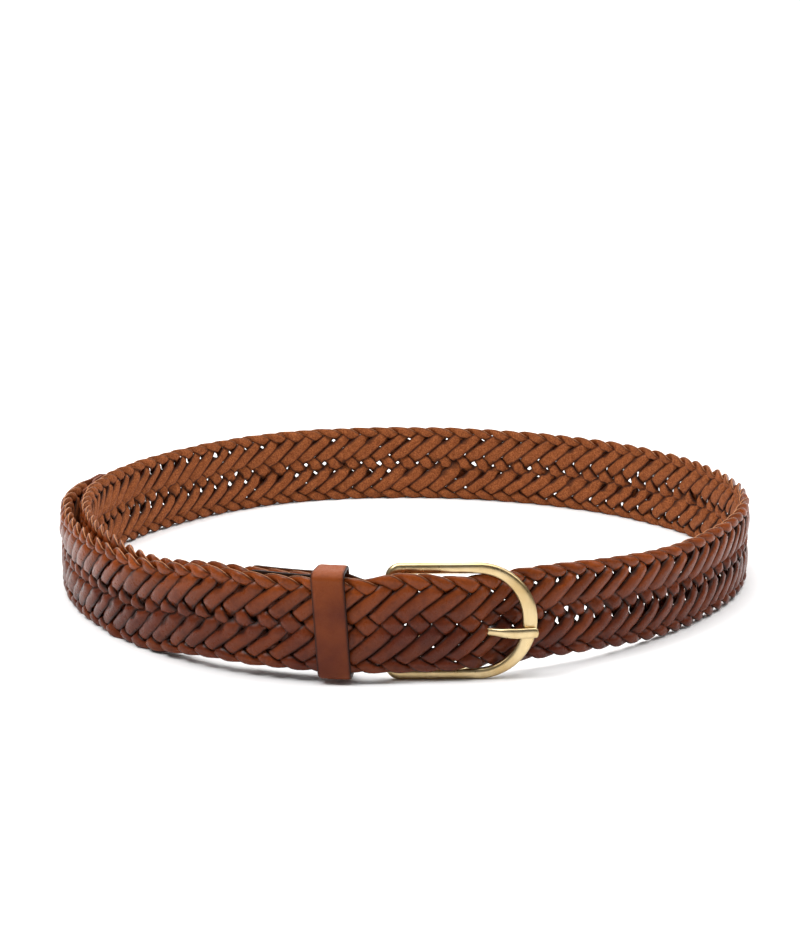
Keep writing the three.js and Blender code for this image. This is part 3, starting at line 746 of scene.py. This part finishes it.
# ---- materials --------------------------------------------------------------------------------
class Finish:
    """A Principled material put together node by node."""

    def __init__(self, name, **sockets):
        self.material = bpy.data.materials.new(name)
        self.material.use_nodes = True
        self.tree = self.material.node_tree
        self.shader = self.tree.nodes["Principled BSDF"]
        for socket, value in sockets.items():
            self.shader.inputs[socket.replace("_", " ")].default_value = value
        self.where = self.add("ShaderNodeTexCoord").outputs["Object"]

    def add(self, kind, **settings):
        node = self.tree.nodes.new(kind)
        for key, value in settings.items():
            setattr(node, key, value)
        return node

    def feed(self, socket, value):
        if isinstance(value, bpy.types.NodeSocket):
            self.tree.links.new(value, socket)
        elif socket.type == "RGBA":
            socket.default_value = (*value, 1.0)
        else:
            socket.default_value = value

    def set(self, node, **inputs):
        for key, value in inputs.items():
            self.feed(node.inputs[key.replace("_", " ")], value)
        return node

    def noise(self, scale, detail=3.0, roughness=0.55, stretch=None):
        vector = self.where
        if stretch:
            mapping = self.set(self.add("ShaderNodeMapping"), Vector=self.where, Scale=stretch)
            vector = mapping.outputs["Vector"]
        node = self.set(self.add("ShaderNodeTexNoise"), Vector=vector, Scale=scale, Detail=detail,
                        Roughness=roughness)
        return node.outputs["Fac"]

    def cells(self, scale):
        node = self.set(self.add("ShaderNodeTexVoronoi"), Vector=self.where, Scale=scale)
        return node.outputs["Distance"]

    def channels(self):
        attribute = self.add("ShaderNodeAttribute", attribute_name="place")
        split = self.add("ShaderNodeSeparateColor")
        self.tree.links.new(attribute.outputs["Color"], split.inputs["Color"])
        return [split.outputs[k] for k in ("Red", "Green", "Blue")] + [attribute.outputs["Alpha"]]

    def ramp(self, value, low, high, out_low=0.0, out_high=1.0):
        node = self.add("ShaderNodeMapRange", clamp=True)
        self.set(node, Value=value, From_Min=low, From_Max=high, To_Min=out_low, To_Max=out_high)
        return node.outputs["Result"]

    def math(self, operation, a, b):
        node = self.add("ShaderNodeMath", operation=operation)
        self.feed(node.inputs[0], a)
        self.feed(node.inputs[1], b)
        return node.outputs["Value"]

    def mix(self, factor, a, b):
        """Mixes two colours. The node's colour sockets are numbers 6, 7 and, coming out, 2."""
        node = self.add("ShaderNodeMix", data_type="RGBA")
        for number, value in ((0, factor), (6, a), (7, b)):
            self.feed(node.inputs[number], value)
        return node.outputs[2]

    def mix_numbers(self, factor, a, b):
        """Mixes two numbers. The node's number sockets are 2, 3 and, coming out, 0."""
        node = self.add("ShaderNodeMix", data_type="FLOAT")
        for number, value in ((0, factor), (2, a), (3, b)):
            self.feed(node.inputs[number], value)
        return node.outputs[0]

    def surface(self, colour, roughness, height, distance, strength=1.0):
        links = self.tree.links
        links.new(colour, self.shader.inputs["Base Color"])
        links.new(roughness, self.shader.inputs["Roughness"])
        node = self.set(self.add("ShaderNodeBump"), Height=height, Distance=distance, Strength=strength)
        links.new(node.outputs["Normal"], self.shader.inputs["Normal"])
        return self.material


def linear(*screen):
    """A screen colour from 0 to 255 as the linear colour that a shader takes."""
    return tuple(((c / 255 + 0.055) / 1.055) ** 2.4 if c > 10 else c / 255 / 12.92 for c in screen)


GRAIN = linear(90, 38, 22)
# Warm orange tone: it comes and goes at random, and is also painted top light towards the band's upper edge.
GRAIN_WARM_TONE_AND_TOP_LIGHT = linear(142, 68, 24)
GRAIN_DEEP = linear(50, 19, 12)
# Near black painted shade for the crevices between thongs, on their edges and cut sides.
GAP_SHADE = linear(16, 7, 5)
SUEDE = linear(168, 96, 50)
SUEDE_DEEP = linear(104, 51, 22)
# Painted shade for the crevices between the thongs' suede faces.
SUEDE_GAP_SHADE = linear(36, 16, 8)
RAW_EDGE = linear(196, 130, 84)


def thong_leather():
    f = Finish("thong_leather", Specular_IOR_Level=0.16)
    facing, height, tone, across = f.channels()
    cloud = f.noise(55, 3)
    mottle = f.noise(420, 4)
    fibre = f.noise(1500, 3)
    # Painted top light: the grain turns warmer and lighter towards the band's upper edge.
    grain = f.mix(f.ramp(height, 0.45, 1.0, 0.0, 0.9), GRAIN, GRAIN_WARM_TONE_AND_TOP_LIGHT)
    grain = f.mix(f.ramp(tone, 0.2, 0.9, 0.0, 0.45), grain, GRAIN_DEEP)
    grain = f.mix(f.ramp(cloud, 0.35, 0.7, 0.0, 0.4), grain, GRAIN_WARM_TONE_AND_TOP_LIGHT)
    grain = f.mix(f.ramp(mottle, 0.5, 0.75, 0.0, 0.45), grain, GRAIN_DEEP)
    # Painted shade: the grain darkens to near black at each thong's edges, where the thongs meet.
    grain = f.mix(f.ramp(across, 0.7, 0.97, 0.0, 0.95), grain, GAP_SHADE)
    suede = f.mix(f.ramp(fibre, 0.3, 0.7), SUEDE_DEEP, SUEDE)
    suede = f.mix(f.ramp(mottle, 0.4, 0.7, 0.0, 0.5), suede, SUEDE_DEEP)
    # Painted shade: the suede darkens at each thong's edges, where the thongs meet.
    suede = f.mix(f.ramp(across, 0.66, 0.97, 0.0, 0.95), suede, SUEDE_GAP_SHADE)
    # Painted shade on the cut sides down in the crevices; the raw edge's own colour shows only at the band's
    # top edge.
    cut = f.mix(f.ramp(height, 0.86, 0.97), GAP_SHADE, RAW_EDGE)
    raw = f.mix(f.ramp(fibre, 0.3, 0.7, 0.0, 0.6), cut, SUEDE_DEEP)
    is_raw = f.ramp(facing, 0.20, 0.42)
    is_suede = f.ramp(facing, 0.62, 0.85)
    colour = f.mix(is_suede, f.mix(is_raw, grain, raw), suede)
    roughness = f.math("ADD", f.ramp(mottle, 0.3, 0.7, 0.24, 0.38), f.ramp(facing, 0.2, 0.5, 0.0, 0.4))
    pores = f.cells(1600)
    wrinkles = f.noise(700, 4)
    smooth_face = f.math("ADD", f.math("MULTIPLY", pores, 0.35), wrinkles)
    rough_face = f.math("MULTIPLY", fibre, 2.2)
    return f.surface(colour, roughness, f.mix_numbers(is_raw, smooth_face, rough_face), 0.00012)


def strip_leather(name, main, warm_tone_and_top_light, deep, edge, mottled=0.5):
    f = Finish(name, Specular_IOR_Level=0.14)
    facing, height, edge_on, _ = f.channels()
    cloud = f.noise(60, 3)
    mottle = f.noise(480, 4)
    fine = f.noise(1800, 3)
    # Painted top light: the strip turns warmer and lighter towards its top. The same colour also comes and
    # goes at random as warm tone.
    colour = f.mix(f.ramp(height, 0.6, 1.0, 0.0, 0.8), main, warm_tone_and_top_light)
    colour = f.mix(f.ramp(cloud, 0.35, 0.7, 0.0, 0.5), colour, warm_tone_and_top_light)
    colour = f.mix(f.ramp(mottle, 0.48, 0.72, 0.0, mottled), colour, deep)
    colour = f.mix(f.ramp(edge_on, 0.15, 0.8), colour, edge)
    colour = f.mix(f.ramp(facing, 0.7, 0.9), colour, SUEDE_DEEP)
    roughness = f.ramp(mottle, 0.3, 0.7, 0.38, 0.55)
    relief = f.math("ADD", f.math("MULTIPLY", f.cells(1300), 0.5), f.math("ADD", f.noise(600, 4), fine))
    return f.surface(colour, roughness, relief, 0.0001)


def brass():
    f = Finish("brass", Metallic=1.0)
    cloud = f.noise(70, 3)
    streak = f.noise(700, 2, stretch=(1.0, 1.0, 0.25))
    pits = f.noise(2200, 2)
    colour = f.mix(f.ramp(cloud, 0.35, 0.7), linear(204, 182, 140), linear(180, 154, 108))
    colour = f.mix(f.ramp(streak, 0.55, 0.8, 0.0, 0.15), colour, linear(150, 122, 74))
    roughness = f.math("ADD", f.ramp(streak, 0.3, 0.7, 0.27, 0.33), f.ramp(pits, 0.55, 0.8, 0.0, 0.05))
    relief = f.math("ADD", streak, f.math("MULTIPLY", pits, 0.6))
    return f.surface(colour, roughness, relief, 0.00001, 0.35)


def thread_fibre():
    f = Finish("thread_fibre", Specular_IOR_Level=0.3, Sheen_Weight=0.2)
    fuzz = f.noise(2600, 3)
    colour = f.mix(f.ramp(fuzz, 0.3, 0.7), linear(46, 30, 22), linear(74, 50, 36))
    return f.surface(colour, f.ramp(fuzz, 0.3, 0.7, 0.6, 0.8), fuzz, 0.00008)


def dress(obj, material):
    obj.data.materials.clear()
    obj.data.materials.append(material)


# ---- floor, light and camera ------------------------------------------------------------------
FLOOR_FRONT = -2.2
FLOOR_BACK = 1.2
FLOOR_BEND = 0.9
FLOOR_TOP = 3.2
FLOOR_HALF = 3.5
WORLD_STRENGTH = 0.16


def studio():
    """White paper that curves up behind the belt, a pale world and three lights, in metres."""
    profile = [(FLOOR_FRONT, 0.0), (FLOOR_BACK, 0.0)]
    for turn in np.radians(np.linspace(0, 90, 17)):
        profile.append((FLOOR_BACK + FLOOR_BEND * math.sin(turn), FLOOR_BEND * (1 - math.cos(turn))))
    profile.append((FLOOR_BACK + FLOOR_BEND, FLOOR_TOP))
    points = [[x, y, z] for y, z in profile for x in (-FLOOR_HALF, FLOOR_HALF)]
    faces = [[2 * i, 2 * i + 1, 2 * i + 3, 2 * i + 2] for i in range(len(profile) - 1)]
    floor = make_object("floor", np.array(points) * 1000, faces)
    f = Finish("paper", Specular_IOR_Level=0.1)
    paper = f.noise(300, 2)
    colour = f.mix(paper, (0.93, 0.93, 0.93), (0.95, 0.95, 0.95))
    dress(floor, f.surface(colour, f.ramp(paper, 0, 1, 0.85, 0.95), paper, 0.00001))

    world = bpy.data.worlds.new("soft_room")
    bpy.context.scene.world = world
    world.use_nodes = True
    background = world.node_tree.nodes["Background"]
    background.inputs["Color"].default_value = (1.0, 1.0, 1.0, 1.0)
    background.inputs["Strength"].default_value = WORLD_STRENGTH
    light("key", (-1.0, -0.5, 1.5), 0.7, 16.0)
    light("fill", (1.4, -0.2, 1.2), 0.8, 8.0)
    light("top", (0.0, 0.3, 1.8), 2.6, 62.0)


def light(name, spot, size, power):
    data = bpy.data.lights.new(name, "AREA")
    data.shape = "DISK"
    data.size = size
    data.energy = power
    obj = bpy.data.objects.new(name, data)
    obj.location = spot
    obj.rotation_mode = "QUATERNION"
    obj.rotation_quaternion = Vector(-np.array(spot)).to_track_quat("-Z", "Y")
    bpy.context.scene.collection.objects.link(obj)


def camera():
    data = bpy.data.cameras.new("camera")
    data.sensor_width = 36.0
    data.lens = FOCAL_PIXELS / IMAGE_HEIGHT * data.sensor_width
    data.shift_x = -AXIS_RIGHT / IMAGE_HEIGHT
    data.shift_y = AXIS_BELOW / IMAGE_HEIGHT
    data.clip_start = 0.05
    obj = bpy.data.objects.new("camera", data)
    x, y = (c / 1000 for c in CENTRE)
    flat = CAMERA_DISTANCE * math.cos(CAMERA_RISE)
    obj.location = (x, y - flat, CAMERA_DISTANCE * math.sin(CAMERA_RISE))
    obj.rotation_euler = (math.pi / 2 - CAMERA_RISE, 0, 0)
    bpy.context.scene.collection.objects.link(obj)
    bpy.context.scene.camera = obj


# ---- put together -----------------------------------------------------------------------------
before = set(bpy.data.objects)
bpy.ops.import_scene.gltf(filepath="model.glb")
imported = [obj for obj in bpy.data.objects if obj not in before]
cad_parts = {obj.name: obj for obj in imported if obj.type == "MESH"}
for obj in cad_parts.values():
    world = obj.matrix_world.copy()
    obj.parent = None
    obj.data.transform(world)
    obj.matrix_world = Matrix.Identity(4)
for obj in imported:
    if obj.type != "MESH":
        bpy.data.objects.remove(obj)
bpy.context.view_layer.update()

leather = thong_leather()
for number in range(STRANDS):
    dress(thong(number), leather)

metal = brass()
for piece in (buckle_frame(), prong_shank(), prong_eye()):
    dress(piece, metal)

tab_leather = strip_leather(
    "tab_leather", linear(62, 32, 22), linear(78, 42, 26), linear(36, 20, 14), linear(40, 24, 17))
for piece in buckle_tab():
    dress(piece, tab_leather)

dress(keeper(), strip_leather(
    "keeper_leather", linear(88, 37, 20), linear(140, 68, 24), linear(70, 30, 17), linear(34, 15, 10), 0.2))

tip_leather = strip_leather(
    "tip_leather", linear(99, 46, 27), linear(122, 60, 28), linear(66, 31, 18), linear(112, 58, 32))
dress(tip_ply(1, "tip_ply_outside", "tip_outer_ply"), tip_leather)
dress(tip_ply(-1, "tip_ply_inside", "tip_inner_ply"), tip_leather)

cord = thread_fibre()
tab_stitch_n = float(outer_offset(TAB_STITCH_U)) - OUTER_DROP - (PLY + PLY_GAP) / 2
tab_stitch_high = BAND_LIFT + BELT_WIDTH - TAB_STITCH_EDGE
dress(thread("tab_thread", "tab_stitch", TAB_STITCH_U, tab_stitch_n,
             BAND_LIFT + TAB_STITCH_EDGE, tab_stitch_high), cord)
dress(thread("tip_thread", "tip_stitch", TIP_STITCH_U, float(outer_offset(TIP_BRAID_END - 6)),
             TIP_STITCH_EDGE, BELT_WIDTH - TIP_STITCH_EDGE), cord)

studio()
camera()

bpy.context.scene.view_settings.view_transform = "Standard"
